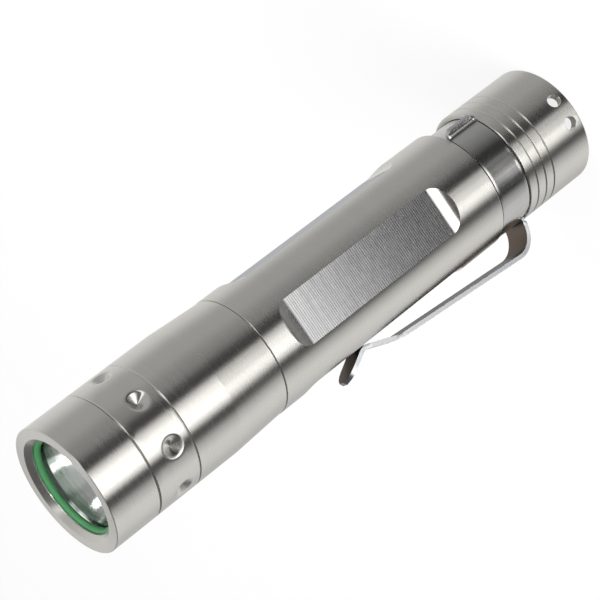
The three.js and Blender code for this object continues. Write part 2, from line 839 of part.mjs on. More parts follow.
const sealLift = (sealGrooveWidth - sealSection) / 2;
const sealOffset = sealSection / 2 + seatGap / 2 - sealGrooveDepth;
const frontSealGroove = seamZ + sealInset + sealLift;
const rearSealGroove = capLength - sealInset - sealGrooveWidth + sealLift;
const threadSeal = (radius) => seal(radius + sealOffset, sealSection, 40, 6);
place(body, 'head_o_ring', threadSeal(threadRadius), blackRubber, frontSealGroove);
place(body, 'body_tube', makeBodyTube(), steel);
place(body, 'tail_o_ring', threadSeal(neckRadius), blackRubber, rearSealGroove);
place(body, 'battery_cell', makeBatteryCell(), wrap, cellZ);
place(body, 'battery_contact', makeBatteryContact(), springSteel, cellZ + cellLength);
place(body, 'pocket_clip', makePocketClip(), springSteel);

place(tail, 'tailcap', makeTailcap(), steel);
place(tail, 'switch_boot', makeSwitchBoot(), blackRubber);
const washer = ring(buttonRadius - bootWall, pocketRadius - slideFit, washerThickness);
place(tail, 'boot_washer', washer, aluminium, washerZ);
place(tail, 'switch_plunger', makeSwitchPlunger(), whiteResin);
const springRoom = switchHeight - 2 * switchWall - plungerFoot - 3 * seatGap;
const switchSpringZ = switchZ + switchWall + plungerFoot + 2 * seatGap;
place(tail, 'switch_spring', coilSpring('switch_spring', {
  base: switchSpringRadius,
  top: switchSpringRadius,
  wire: switchSpringWire,
  curls: switchSpringCurls,
  height: springRoom,
}), springSteel, switchSpringZ);
place(tail, 'switch_housing', makeSwitchHousing(), blackResin, switchZ + switchHeight / 2);
place(tail, 'switch_board', disc(pocketRadius - slideFit, tailBoardThickness), boardGreen, tailBoardZ);
place(tail, 'tail_spring', coilSpring('tail_spring', {
  base: tailSpringBase,
  top: tailSpringTop,
  wire: tailSpringWire,
  curls: tailSpringCurls,
  height: tailSpringHeight,
}), bronze, tailSpringZ);
const switchRing = makeSlottedRing(pocketRadius - slideFit, ringWidth, ringThickness);
place(tail, 'switch_ring', switchRing, bronze, ringZ);

export default flashlight;
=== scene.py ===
import math

import bmesh
import bpy
from mathutils import Matrix, Vector


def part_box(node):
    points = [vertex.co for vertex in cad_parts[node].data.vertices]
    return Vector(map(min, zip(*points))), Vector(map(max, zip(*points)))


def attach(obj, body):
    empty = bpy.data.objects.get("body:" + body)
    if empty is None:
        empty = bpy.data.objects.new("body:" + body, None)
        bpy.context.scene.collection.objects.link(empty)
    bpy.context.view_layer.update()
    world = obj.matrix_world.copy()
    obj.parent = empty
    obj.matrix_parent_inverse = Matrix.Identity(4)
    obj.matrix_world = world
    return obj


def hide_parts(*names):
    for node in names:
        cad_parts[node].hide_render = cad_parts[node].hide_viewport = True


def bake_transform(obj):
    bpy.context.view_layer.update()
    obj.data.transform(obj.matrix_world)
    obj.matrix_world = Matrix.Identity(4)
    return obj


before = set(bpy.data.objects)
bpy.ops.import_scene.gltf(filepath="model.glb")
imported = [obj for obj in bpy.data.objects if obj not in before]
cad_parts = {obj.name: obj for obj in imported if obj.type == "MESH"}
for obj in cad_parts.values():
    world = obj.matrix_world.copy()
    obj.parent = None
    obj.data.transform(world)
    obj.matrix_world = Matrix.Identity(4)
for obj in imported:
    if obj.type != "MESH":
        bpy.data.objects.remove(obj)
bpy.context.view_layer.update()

scene = bpy.context.scene
milli = 0.001  # profiles below are in millimetres, meshes in metres


# Shader maths: a socket that takes part in Python expressions
class Val:
    def __init__(self, tree, socket):
        self.tree = tree
        self.socket = socket

    def maths(self, operation, *values):
        return make(self.tree, "Math", {"operation": operation}, dict(enumerate(values)))

    def __add__(self, other):
        return self.maths("ADD", self, other)

    def __radd__(self, other):
        return self.maths("ADD", other, self)

    def __sub__(self, other):
        return self.maths("SUBTRACT", self, other)

    def __rsub__(self, other):
        return self.maths("SUBTRACT", other, self)

    def __mul__(self, other):
        return self.maths("MULTIPLY", self, other)

    def __rmul__(self, other):
        return self.maths("MULTIPLY", other, self)

    def __truediv__(self, other):
        return self.maths("DIVIDE", self, other)

    def __rtruediv__(self, other):
        return self.maths("DIVIDE", other, self)


# Any node: its settings first, then the values or links of its sockets
def make(tree, kind, settings=None, inputs=None, output=0):
    node = tree.nodes.new("ShaderNode" + kind)
    for name, value in (settings or {}).items():
        if name == "stops":
            fillRamp(node.color_ramp, value)
        else:
            setattr(node, name, value)
    for name, value in (inputs or {}).items():
        plug(tree, node.inputs[name], value)
    return Val(tree, node.outputs[output])


def plug(tree, socket, value):
    if isinstance(value, Val):
        tree.links.new(value.socket, socket)
    else:
        socket.default_value = value


def fillRamp(ramp, stops):
    while len(ramp.elements) < len(stops):
        ramp.elements.new(0.5)
    for element, (place, colour) in zip(ramp.elements, stops):
        element.position = place
        element.color = colour if len(colour) == 4 else (*colour, 1)


def grey(value):
    return (value, value, value)


# One finish: a Principled shader and the textures that feed it
class Finish:
    def __init__(self, name):
        self.material = bpy.data.materials.new(name)
        self.material.use_nodes = True
        self.tree = self.material.node_tree
        self.shader = self.tree.nodes["Principled BSDF"]

    def node(self, kind, settings=None, inputs=None, output=0):
        return make(self.tree, kind, settings, inputs, output)

    def give(self, **values):
        for name, value in values.items():
            plug(self.tree, self.shader.inputs[name.replace("_", " ")], value)

    def place(self):
        return self.node("TexCoord", output="Object")

    def noise(self, scale, detail=3, stretch=(1, 1, 1)):
        where = self.node("Mapping", {}, {"Vector": self.place(), "Scale": stretch})
        return self.node("TexNoise", {}, {"Vector": where, "Scale": scale, "Detail": detail})

    # Dark to light; each end is a place on the ramp and a share of the tone
    def shade(self, factor, tone, dark, light):
        stops = [(place, [min(1, channel * share) for channel in tone]) for place, share in (dark, light)]
        return self.node("ValToRGB", {"stops": stops}, {"Fac": factor})

    def bump(self, height, strength, distance):
        return self.node("Bump", {}, {"Height": height, "Strength": strength, "Distance": distance})


# Heights that the bumps stand for, in metres
ringDepth = 0.00003
strokeDepth = 0.00002
grainDepth = 0.00005

roundTheAxis = (0.02, 0.02, 1)  # noise stretched into rings
alongTheAxis = (1, 1, 0.04)  # noise stretched into strokes


# Stainless steel with the fine rings that a lathe leaves round the Z axis
def turnedSteel(name, tone, roughness, rings=0.035):
    finish = Finish(name)
    fine = finish.noise(1500, 4, roundTheAxis)
    broad = finish.noise(260, 2, (0.05, 0.05, 1))
    cloud = finish.noise(90, 4)
    tint = fine * 0.4 + broad * 0.4 + cloud * 0.2
    finish.give(
        Base_Color=finish.shade(tint, tone, (0.3, 0.97), (0.7, 1.025)),
        Roughness=fine * 0.04 + cloud * 0.05 + (roughness - 0.045),
        Metallic=1.0,
        Anisotropic=0.9,
        Anisotropic_Rotation=0.25,  # a quarter turn blurs along the axis
        Normal=finish.bump(fine * 0.7 + broad * 0.3, rings, ringDepth),
    )
    return finish.material


# Milled flat: cuts across the axis in uneven groups, with a few scratches
def milledSteel(name, tone, roughness, pitch=0.00045):
    finish = Finish(name)
    bands = {"wave_type": "BANDS", "bands_direction": "Z"}
    scale = math.pi / 10 / pitch  # one wave each pitch
    wave = {"Vector": finish.place(), "Scale": scale, "Distortion": 0.9, "Detail": 3, "Detail Scale": 0.8}
    cuts = finish.node("TexWave", bands, wave, output="Fac")
    fine = finish.noise(4600, 3, (0.12, 0.12, 1))
    groups = finish.noise(1300, 2, (0.06, 0.06, 1))
    strokes = finish.noise(900, 3, (1, 1, 0.03))
    height = finish.node("SeparateXYZ", {}, {"Vector": finish.place()}, output="Z")
    fade = {"Value": height, "From Min": 0.036, "From Max": 0.07, "To Min": 0.4, "To Max": 1.3}
    depth = finish.node("MapRange", {}, fade)  # the marks fade towards the tail
    tint = (cuts * 0.22 + fine * 0.3 + groups * 0.38 + strokes * 0.1 - 0.5) * depth + 0.5
    finish.give(
        Base_Color=finish.shade(tint, tone, (0.25, 0.7), (0.75, 1.14)),
        Roughness=fine * 0.1 + cuts * 0.05 + (roughness - 0.07),
        Metallic=1.0,
        Specular_Tint=(0.5, 0.52, 0.55, 1),  # duller where it is seen edge-on
        Normal=finish.bump((cuts * 0.6 + fine * 0.4) * depth, 0.04, ringDepth),
    )
    return finish.material


# Bent spring strip, polished, with rolling marks along it
def polishedStrip(name, tone, roughness, edgeOn=1):
    finish = Finish(name)
    rolled = finish.noise(1400, 3, alongTheAxis)
    cloud = finish.noise(160, 4)
    finish.give(
        Base_Color=finish.shade(rolled * 0.5 + cloud * 0.5, tone, (0.35, 0.92), (0.65, 1.05)),
        Roughness=rolled * 0.08 + cloud * 0.08 + (roughness - 0.08),
        Metallic=1.0,
        Specular_Tint=(edgeOn, edgeOn, edgeOn, 1),  # brightness where it is seen edge-on
        Normal=finish.bump(rolled, 0.15, strokeDepth),
    )
    return finish.material


# Moulded rubber or resin with a faint grain
def moulded(name, tone, roughness, grain=0.25, scale=1800, spread=0.12):
    finish = Finish(name)
    fine = finish.noise(scale, 4)
    cloud = finish.noise(scale / 15, 3)
    finish.give(
        Base_Color=finish.shade(fine * 0.5 + cloud * 0.5, tone, (0.3, 1 - spread), (0.7, 1 + spread)),
        Roughness=fine * 0.16 + (roughness - 0.08),
        Normal=finish.bump(fine, grain, grainDepth),
    )
    return finish.material


# Mirror coat of the reflector, with a faint orange peel
def mirrorCoat(name, tone):
    finish = Finish(name)
    peel = finish.noise(1200, 2)
    cloud = finish.noise(150, 3)
    finish.give(
        Base_Color=finish.shade(cloud, tone, (0.3, 0.95), (0.7, 1)),
        Roughness=peel * 0.05 + 0.1,
        Metallic=1.0,
        Normal=finish.bump(peel, 0.06, ringDepth),
    )
    return finish.material


# Clear coated glass that bends what is behind it
def coatedGlass(name, tone):
    finish = Finish(name)
    smear = finish.noise(120, 4)
    finish.give(
        Base_Color=finish.shade(smear, tone, (0.3, 0.98), (0.7, 1)),
        Roughness=smear * 0.01,
        Transmission_Weight=1.0,
        IOR=1.5,
    )
    return finish.material


# Round meshes
weld = 1e-7  # points closer than this are one, in metres


def corner(before, at, after, radius, steps=4):
    a = (Vector(before) - Vector(at)).normalized()
    b = (Vector(after) - Vector(at)).normalized()
    half = a.angle(b) / 2
    reach = radius / math.tan(half)
    centre = Vector(at) + (a + b).normalized() * (radius / math.sin(half))
    start = Vector(at) + a * reach - centre
    end = Vector(at) + b * reach - centre
    sweep = start.angle_signed(end)
    points = []
    for i in range(steps + 1):
        spoke = start.copy()
        spoke.rotate(Matrix.Rotation(-sweep * i / steps, 2))
        points.append(tuple(centre + spoke))
    return points


# A closed or open outline of (radius, height) points; a third number rounds that corner
def outline(points, closed=True, steps=4):
    result = []
    count = len(points)
    for i, point in enumerate(points):
        if len(point) == 2 or (not closed and i in (0, count - 1)):
            result.append(tuple(point[:2]))
            continue
        before = points[i - 1][:2]
        after = points[(i + 1) % count][:2]
        result.extend(corner(before, point[:2], after, point[2], steps))
    return result


def newPiece(name, mesh, material, smoothAngle=35):
    piece = bpy.data.objects.new(name, mesh)
    scene.collection.objects.link(piece)
    mesh.materials.append(material)
    shadeByAngle(mesh, smoothAngle)
    return piece


def shadeByAngle(mesh, degrees):
    soft = bmesh.new()
    soft.from_mesh(mesh)
    for face in soft.faces:
        face.smooth = True
    for edge in soft.edges:
        if len(edge.link_faces) == 2:
            one, two = edge.link_faces
            steep = edge.calc_face_angle(0) > math.radians(degrees)
            edge.smooth = not (steep or one.material_index != two.material_index)
    soft.to_mesh(mesh)
    soft.free()


def evenNormals(piece):
    weighted = piece.modifiers.new("evenNormals", "WEIGHTED_NORMAL")
    weighted.keep_sharp = True
    weighted.weight = 100
    return piece


def seal(name, mesh):
    bmesh.ops.remove_doubles(mesh, verts=mesh.verts, dist=weld)
    bmesh.ops.recalc_face_normals(mesh, faces=mesh.faces)
    data = bpy.data.meshes.new(name)
    mesh.to_mesh(data)
    mesh.free()
    return data


# Columns of points swept round the axis; each point may move with the angle
def sweepRows(mesh, points, segments, closed, shift=None):
    rings = []
    for k in range(segments):
        angle = 2 * math.pi * k / segments
        ring = []
        for radius, height in points:
            if shift:
                radius, height = shift(radius, height, angle)
            spot = (radius * math.cos(angle), radius * math.sin(angle), height)
            ring.append(mesh.verts.new([value * milli for value in spot]))
        rings.append(ring)
    last = len(points) if closed else len(points) - 1
    for k in range(segments):
        here, there = rings[k], rings[(k + 1) % segments]
        for i in range(last):
            j = (i + 1) % len(points)
            mesh.faces.new((here[i], there[i], there[j], here[j]))


def turned(name, points, material, segments=160, closed=True, smoothAngle=35):
    mesh = bmesh.new()
    rim = outline(points, closed)
    sweepRows(mesh, rim, segments, closed)
    piece = newPiece(name, seal(name, mesh), material, smoothAngle)
    return evenNormals(piece)


# A sleeve with a real helical thread on its outside
threadShape = {"pitch": 0.75, "depth": 0.36, "rowsPerTurn": 8, "runout": 0.6, "root": 0.2, "flank": 0.5,
               "sides": 96}


def threadSleeve(name, inner, crest, low, high, material, shape=threadShape):
    pitch, depth, fade = shape["pitch"], shape["depth"], shape["runout"]
    rows = round((high - low) / pitch * shape["rowsPerTurn"])

    def helix(radius, height, angle):
        if radius < crest:
            return radius, height
        phase = (height / pitch - angle / (2 * math.pi)) % 1
        wave = abs(2 * phase - 1)
        flank = min(1, max(0, (wave - shape["root"]) / shape["flank"]))
        ends = min(1, (height - low) / fade, (high - height) / fade)
        return crest - depth + depth * flank * max(0, ends), height

    points = [(crest, low + (high - low) * i / rows) for i in range(rows + 1)]
    points += [(inner, high), (inner, low)]
    mesh = bmesh.new()
    sweepRows(mesh, points, shape["sides"], True, helix)
    return evenNormals(newPiece(name, seal(name, mesh), material, 50))


def ringSeal(name, radius, section, height, material):
    steps = 24
    points = []
    for i in range(steps):
        angle = 2 * math.pi * i / steps
        points.append((radius + section / 2 * math.cos(angle), height + section / 2 * math.sin(angle)))
    return turned(name, points, material, 144)


def carve(piece, cutter):
    cut = piece.modifiers.new("cut", "BOOLEAN")
    cut.operation = "DIFFERENCE"
    cut.solver = "EXACT"
    cut.object = cutter
    with bpy.context.temp_override(object=piece, active_object=piece, selected_objects=[piece]):
        while piece.modifiers[0] != cut:
            bpy.ops.object.modifier_move_up(modifier=cut.name)
        bpy.ops.object.modifier_apply(modifier=cut.name)
    bpy.data.objects.remove(cutter)


def onBody(piece, body, slot, *nodes):
    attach(piece, body)
    if nodes:
        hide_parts(*nodes)
    return piece


def span(node):
    low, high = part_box(node)
    return low.z / milli, high.z / milli


# Finishes of this light
steel = turnedSteel("turnedSteel", (0.665, 0.65, 0.612), 0.27)
steelFace = turnedSteel("facedSteel", (0.68, 0.665, 0.63), 0.30)
flatSteel = milledSteel("milledSteel", (0.515, 0.52, 0.515), 0.14)
scoopSteel = polishedStrip("scoopSteel", (0.66, 0.65, 0.62), 0.15)
clipSteel = polishedStrip("clipSteel", (0.525, 0.52, 0.51), 0.2)
# painted shade: the arm's face towards the body is the same spring steel, made dark brown for the shade
# between clip and body
clipShadedInside = polishedStrip("clipShadedInside", (0.17, 0.138, 0.115), 0.3, 0.5)
clipEdge = polishedStrip("clipEdge", (0.52, 0.53, 0.54), 0.3)
greenRubber = moulded("greenRubber", (0.052, 0.205, 0.078), 0.42, 0.1)
blackRubber = moulded("blackRubber", (0.022, 0.022, 0.024), 0.55, 0.3)
mirror = mirrorCoat("mirrorCoat", (0.97, 0.98, 0.98))
glass = coatedGlass("coatedGlass", (0.95, 0.98, 0.96))
whiteResin = moulded("whiteResin", (0.80, 0.80, 0.77), 0.45, 0.1)
phosphor = moulded("phosphor", (0.84, 0.70, 0.10), 0.5, 0.1)
boardGreen = moulded("boardGreen", (0.02, 0.10, 0.05), 0.35, 0.1)
blackResin = moulded("blackResin", (0.03, 0.03, 0.034), 0.5, 0.2)
cellWrap = moulded("cellWrap", (0.10, 0.14, 0.18), 0.4, 0.05)
bronze = turnedSteel("bronze", (0.60, 0.40, 0.22), 0.34)
aluminium = turnedSteel("turnedAluminium", (0.62, 0.63, 0.64), 0.38)
redSleeve = moulded("redSleeve", (0.42, 0.03, 0.025), 0.45, 0.1)
print("finishes made")


# Bezel: flat rim, bevel, lip over the seal
bezelShape = {"radius": 12.5, "opening": 9.4, "bevelWidth": 1.05, "bevelDepth": 0.9, "seat": 0.05,
              "edge": 0.16, "seam": 0.2, "seamRound": 0.05, "rimRound": 0.08, "bevelRound": 0.12,
              "lipRound": 0.1, "pocket": 10.3, "threadBore": 11.3, "threadLength": 3.7, "sides": 224}


def buildBezel(shape):
    low, high = span("bezel")
    radius, edge = shape["radius"], shape["edge"]
    lip = span("front_o_ring")[1] + shape["seat"]
    step = low + shape["threadLength"]
    piece = turned("bezel", [
        (shape["threadBore"], low),
        (radius - shape["seam"], low, shape["seamRound"]),
        (radius, low + shape["seam"], shape["seamRound"]),
        (radius, high, edge),
        (shape["opening"] + shape["bevelWidth"], high, shape["rimRound"]),
        (shape["opening"], high - shape["bevelDepth"], shape["bevelRound"]),
        (shape["opening"], lip, shape["lipRound"]),
        (shape["pocket"], lip),
        (shape["pocket"], step),
        (shape["threadBore"], step),
    ], steel, shape["sides"])
    onBody(piece, "bezel", "steel", "bezel")


buildBezel(bezelShape)
print("bezel built")


# Seal, glass and reflector behind the bezel
opticShape = {"sealRadius": 9.45, "mouth": 9.1, "throat": 3.6, "wall": 0.8, "flange": 0.9, "radius": 10.2,
              "lensEdge": 0.2, "bowlSteps": 40, "sides": 128}


def buildOptics(shape):
    low, high = span("front_o_ring")
    ring = ringSeal("frontSeal", shape["sealRadius"], high - low, (low + high) / 2, greenRubber)
    onBody(ring, "bezel_seal", "green_rubber", "front_o_ring")
    low, high = span("lens")
    radius, edge, sides = shape["radius"], shape["lensEdge"], shape["sides"]
    disc = [(0, low), (radius, low, edge), (radius, high, edge), (0, high)]
    lens = turned("lensGlass", disc, glass, sides, False)
    onBody(lens, "optics", "clear_glass", "lens")
    low, high = span("reflector")
    depth = high - low
    spread = (shape["mouth"] ** 2 - shape["throat"] ** 2) / depth
    rises = [depth * i / shape["bowlSteps"] for i in range(shape["bowlSteps"] + 1)]
    bowl = [(math.sqrt(shape["throat"] ** 2 + spread * rise), low + rise) for rise in rises]
    foot = high - shape["flange"]
    back = [(r + shape["wall"], z) for r, z in reversed(bowl) if z < foot - shape["flange"]]
    cup = turned("reflectorCup", bowl + [(radius, high), (radius, foot)] + back, mirror, sides)
    onBody(cup, "optics", "mirror_coat", "reflector")


buildOptics(opticShape)
print("optics built")


# Head: taper, turned line, a row of drilled dimples
headShape = {"radius": 12.5, "neck": 11.9, "taper": 11.3, "bore": 10.3, "rearBore": 10.7, "stopBore": 9.7,
             "stopLow": 7.6, "stopHigh": 8.6, "spigot": 11.2, "spigotLength": 3.5, "lineDrop": 9.1,
             "lineWidth": 0.4, "lineDepth": 0.22, "dimples": 8, "dimpleDrop": 5.4, "dimpleRadius": 2.0,
             "dimpleDepth": 1.45, "dimpleAngle": 28.7, "dimpleEdge": 0.3, "seam": 0.2, "perSide": 24,
             "coneSteps": 10, "bandFoot": 0.5, "bandTop": 0.6, "spigotEdge": 0.2, "boreEdge": 0.1,
             "neckEdge": 0.16, "taperRound": 6, "lineEdge": 0.08, "fineEdge": 0.05, "threadRise": 0.02,
             "threadWall": 0.5, "threadFoot": 0.5, "threadEnd": 0.15}
sectorWeld = 2e-6  # joins the sectors to the turned rows, in metres
# how the mesh spreads from the rim of a dimple to the edge of its sector
spreadSteps = (0.12, 0.35, 0.65, 1)
# the rounded rim of a dimple: share of the rim's width outwards, share of its depth
dimpleRim = ((-0.5, 0.56), (0, 0.25), (0.5, 0.06), (1, 0))


# One sector of the band: rings of points from the cone's tip out to a rectangle
def dimpleSector(mesh, shape, centreAngle, middle, low, high):
    radius, perSide, steps = shape["radius"], shape["perSide"], shape["coneSteps"]
    width = 2 * math.pi * radius / shape["dimples"]
    edge = []
    for side in range(4):
        for i in range(perSide):
            t = -1 + 2 * i / perSide
            edge.append([(1, t), (-t, 1), (-1, -t), (t, -1)][side])
    border = [(u * width / 2, (high + low) / 2 + v * (high - low) / 2) for u, v in edge]
    hole, rim = shape["dimpleRadius"], shape["dimpleEdge"]
    slope = shape["dimpleDepth"] / hole
    cone = [(hole * k / steps, -shape["dimpleDepth"] * (1 - k / steps)) for k in range(1, steps)]
    cone += [(hole + rim * out, -rim * slope * sink) for out, sink in dimpleRim]
    loops = []
    for reach, sink in cone:
        loop = []
        for u, v in border:
            angle = math.atan2(v - middle, u)
            loop.append((reach * math.cos(angle), middle + reach * math.sin(angle), sink))
        loops.append(loop)
    inner = loops[-1]
    for k in spreadSteps:
        loops.append([(a[0] + (b[0] - a[0]) * k, a[1] + (b[1] - a[1]) * k, 0) for a, b in zip(inner, border)])

    def vertex(u, v, sink):
        angle = centreAngle + u / radius
        out = radius + sink
        return mesh.verts.new((out * math.cos(angle) * milli, out * math.sin(angle) * milli, v * milli))

    tip = vertex(0, middle, -shape["dimpleDepth"])
    rows = [[vertex(*spot) for spot in loop] for loop in loops]
    count = len(border)
    for i in range(count):
        j = (i + 1) % count
        mesh.faces.new((tip, rows[0][i], rows[0][j]))
        for a, b in zip(rows, rows[1:]):
            mesh.faces.new((a[i], b[i], b[j], a[j]))


def buildHead(shape):
    low, high = span("head_shell")
    top = high - shape["spigotLength"]
    line = top - shape["lineDrop"]
    half, depth = shape["lineWidth"] / 2, shape["lineDepth"]
    radius, lineEdge, fine = shape["radius"], shape["lineEdge"], shape["fineEdge"]
    segments = shape["dimples"] * shape["perSide"]
    start = math.radians(shape["dimpleAngle"]) - math.pi / shape["dimples"]
    bandLow, bandHigh = line + half + shape["bandFoot"], top - shape["bandTop"]
    lower = outline([
        (shape["spigot"], top),
        (shape["spigot"], high, shape["spigotEdge"]),
        (shape["bore"], high, shape["boreEdge"]),
        (shape["bore"], low + shape["stopHigh"]),
        (shape["stopBore"], low + shape["stopHigh"]),
        (shape["stopBore"], low + shape["stopLow"]),
        (shape["rearBore"], low + shape["stopLow"]),
        (shape["rearBore"], low, shape["boreEdge"]),
        (shape["neck"], low, shape["neckEdge"]),
        (radius, low + shape["taper"], shape["taperRound"]),
        (radius, line - half, lineEdge),
        (radius - depth, line, fine),
        (radius, line + half, lineEdge),
        (radius, bandLow),
    ], False)
    seam = shape["seam"]
    upper = outline([
        (radius, bandHigh),
        (radius, top - seam, fine),
        (radius - seam, top, fine),
        (shape["spigot"], top),
    ], False)
    mesh = bmesh.new()
    for points in (lower, upper):
        sweepRows(mesh, points, segments, False)
    bmesh.ops.rotate(mesh, verts=mesh.verts, cent=(0, 0, 0), matrix=Matrix.Rotation(start, 3, "Z"))
    for i in range(shape["dimples"]):
        centre = start + (2 * i + 1) * math.pi / shape["dimples"]
        dimpleSector(mesh, shape, centre, top - shape["dimpleDrop"], bandLow, bandHigh)
    bmesh.ops.remove_doubles(mesh, verts=mesh.verts, dist=sectorWeld)
    piece = evenNormals(newPiece("headShell", seal("headShell", mesh), steel, 32))
    onBody(piece, "head", "steel", "head_shell")
    inner, crest = shape["spigot"] - shape["threadWall"], shape["spigot"] + shape["threadRise"]
    foot, end = top + shape["threadFoot"], high - shape["threadEnd"]
    thread = threadSleeve("bezelThread", inner, crest, foot, end, steelFace)
    onBody(thread, "head", "steel")


buildHead(headShape)
print("head built")


# Body: two spigots, a neck for the clip, four milled flats
bodyShape = {"radius": 12.0, "bore": 9.4, "neck": 10.9, "thread": 10.6, "shoulder": 24.4, "seam": 80.6,
             "neckFoot": 14.35, "groove": 0.7, "grooveWidth": 0.9, "rearGroove": 15.15, "frontGroove": 81.3,
             "flatDistance": 11.06, "flatRear": 33.5, "flatFront": 75.7, "flatRound": 5.5, "edge": 0.16,
             "flats": 4, "scoopSteps": 20, "cutRise": 1, "rootDrop": 0.42, "endRound": 0.1,
             "grooveRound": 0.05, "runout": 0.5, "threadWall": 0.2, "threadGap": 0.2, "neckGap": 0.1,
             "runoutGap": 0.1, "sides": 256, "smoothAngle": 9}


def flatCutter(shape, turn):
    depth = shape["radius"] - shape["flatDistance"]
    bend, steps = shape["flatRound"], shape["scoopSteps"]
    run = math.sqrt(bend ** 2 - (bend - depth) ** 2)
    rear, front = shape["flatRear"] + run, shape["flatFront"] - run
    lean = math.acos((bend - depth - shape["cutRise"]) / bend)
    angles = [lean * i / steps for i in range(steps + 1)]
    end = [(bend - bend * math.cos(angle), bend * math.sin(angle)) for angle in angles]
    rows = [(x, rear - z) for x, z in reversed(end)] + [(x, front + z) for x, z in end]
    mesh = bmesh.new()
    sides = []
    for y in (-shape["radius"], shape["radius"]):
        spots = [Vector((shape["flatDistance"] + x, y, z)) * milli for x, z in rows]
        sides.append([mesh.verts.new(spot) for spot in spots])
    count = len(rows)
    for i in range(count):
        j = (i + 1) % count
        mesh.faces.new((sides[0][i], sides[0][j], sides[1][j], sides[1][i]))
    mesh.faces.new(sides[0])
    mesh.faces.new(sides[1])
    data = seal("flatCutter", mesh)
    data.transform(Matrix.Rotation(turn, 4, "Z"))
    cutter = bpy.data.objects.new("flatCutter", data)
    scene.collection.objects.link(cutter)
    return cutter


def buildBody(shape):
    low, high = span("body_tube")
    radius, edge = shape["radius"], shape["edge"]
    rear, front = shape["rearGroove"], shape["frontGroove"]
    deep, wide, soft = shape["groove"], shape["grooveWidth"], shape["grooveRound"]
    root, end = shape["thread"] - shape["rootDrop"], shape["endRound"]
    runout = front + wide + shape["runout"]
    piece = turned("bodyTube", [
        (shape["bore"], low),
        (root, low, end),
        (root, shape["neckFoot"]),
        (shape["neck"], shape["neckFoot"], end),
        (shape["neck"], rear, soft),
        (shape["neck"] - deep, rear),
        (shape["neck"] - deep, rear + wide),
        (shape["neck"], rear + wide, soft),
        (shape["neck"], shape["shoulder"]),
        (radius, shape["shoulder"], edge),
        (radius, shape["seam"], edge),
        (shape["thread"], shape["seam"]),
        (shape["thread"], front, soft),
        (shape["thread"] - deep, front),
        (shape["thread"] - deep, front + wide),
        (shape["thread"], front + wide, soft),
        (shape["thread"], runout),
        (root, runout),
        (root, high, end),
        (shape["bore"], high),
    ], steel, shape["sides"])
    for i in range(shape["flats"]):
        carve(piece, flatCutter(shape, 2 * math.pi * i / shape["flats"]))
    mesh = piece.data
    mesh.materials.append(flatSteel)
    mesh.materials.append(scoopSteel)
    level, slack, margin, tilt = 0.9999, 0.01, 0.1, 0.01  # how a flat or a scoop is told
    for face in mesh.polygons:
        across = max(abs(face.normal.x), abs(face.normal.y))
        reach = max(abs(face.center.x), abs(face.center.y)) / milli
        height = face.center.z / milli
        between = shape["flatRear"] - margin < height < shape["flatFront"] + margin
        if across > level and abs(reach - shape["flatDistance"]) < slack:
            face.material_index = 1
        elif between and abs(face.normal.z) > tilt and reach > shape["neck"]:
            face.material_index = 2
    shadeByAngle(mesh, shape["smoothAngle"])
    onBody(piece, "body", "steel", "body_tube")
    gap = shape["threadGap"]
    threads = {
        "rearThread": (low + gap, shape["neckFoot"] - shape["neckGap"]),
        "frontThread": (runout + shape["runoutGap"], high - gap),
    }
    for name, (foot, tip) in threads.items():
        thread = threadSleeve(name, root - shape["threadWall"], shape["thread"], foot, tip, steelFace)
        onBody(thread, "body", "steel")


buildBody(bodyShape)
print("body built")


# Seals of the two tube threads
sealSection = 0.62


def buildThreadSeals(section):
    for name, node in (("headSeal", "head_o_ring"), ("tailSeal", "tail_o_ring")):
        low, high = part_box(node)
        radius = high.x / milli - section / 2
        ring = ringSeal(name, radius, section, (low.z + high.z) / 2 / milli, blackRubber)
        onBody(ring, "body", "black_rubber", node)


buildThreadSeals(sealSection)
print("thread seals built")


# Pocket clip: one strip, a ring round the neck and an arm bent back over the body
clipShape = {"thickness": 0.8, "middle": 11.4, "low": 17.0, "high": 24.15, "gap": 38.0, "lip": 2.0,
             "lipRound": 1.8, "rootWidth": 6.6, "tipWidth": 4.8, "rise": 16.75, "fall": 4.4, "bend": 4.8,
             "corner": 0.6, "contactZ": 60.2, "contact": 11.76, "knee": 7.6, "tipLength": 6.3, "tip": 15.1,
             "form": 2.2, "relief": 1.3, "reliefLength": 3.4, "endRound": 1.2, "taperStart": 0.15,
             "tipBlunt": 0.35, "flatStart": 1, "flatLength": 7, "edge": 0.2, "bendSteps": 12, "step": 1.0,
             "rows": 10, "across": 8, "ringSteps": 56, "lipSteps": 6, "armStart": 0.2, "endLimit": 0.9}


def clipLine(shape):
    foot = shape["low"] + shape["thickness"] / 2
    slope = math.tan(math.radians(shape["fall"]))
    knee = shape["contactZ"] - shape["knee"]

    def along(height):
        return shape["rise"] - slope * (height - foot - shape["bend"])

    return outline([
        (shape["middle"], shape["low"] + shape["relief"]),
        (shape["middle"], foot, shape["corner"]),
        (along(foot), foot, shape["bend"]),
        (along(knee), knee, shape["form"]),
        (shape["contact"], shape["contactZ"], shape["form"]),
        (shape["tip"], shape["contactZ"] + shape["tipLength"]),
    ], False, shape["bendSteps"])


def resample(points, step):
    result = [Vector(points[0])]
    for a, b in zip(points, points[1:]):
        a, b = Vector(a), Vector(b)
        pieces = max(1, math.ceil((b - a).length / step))
        result.extend(a.lerp(b, (i + 1) / pieces) for i in range(pieces))
    return result


def runningLength(points):
    lengths = [0]
    for a, b in zip(points, points[1:]):
        lengths.append(lengths[-1] + (b - a).length)
    return lengths


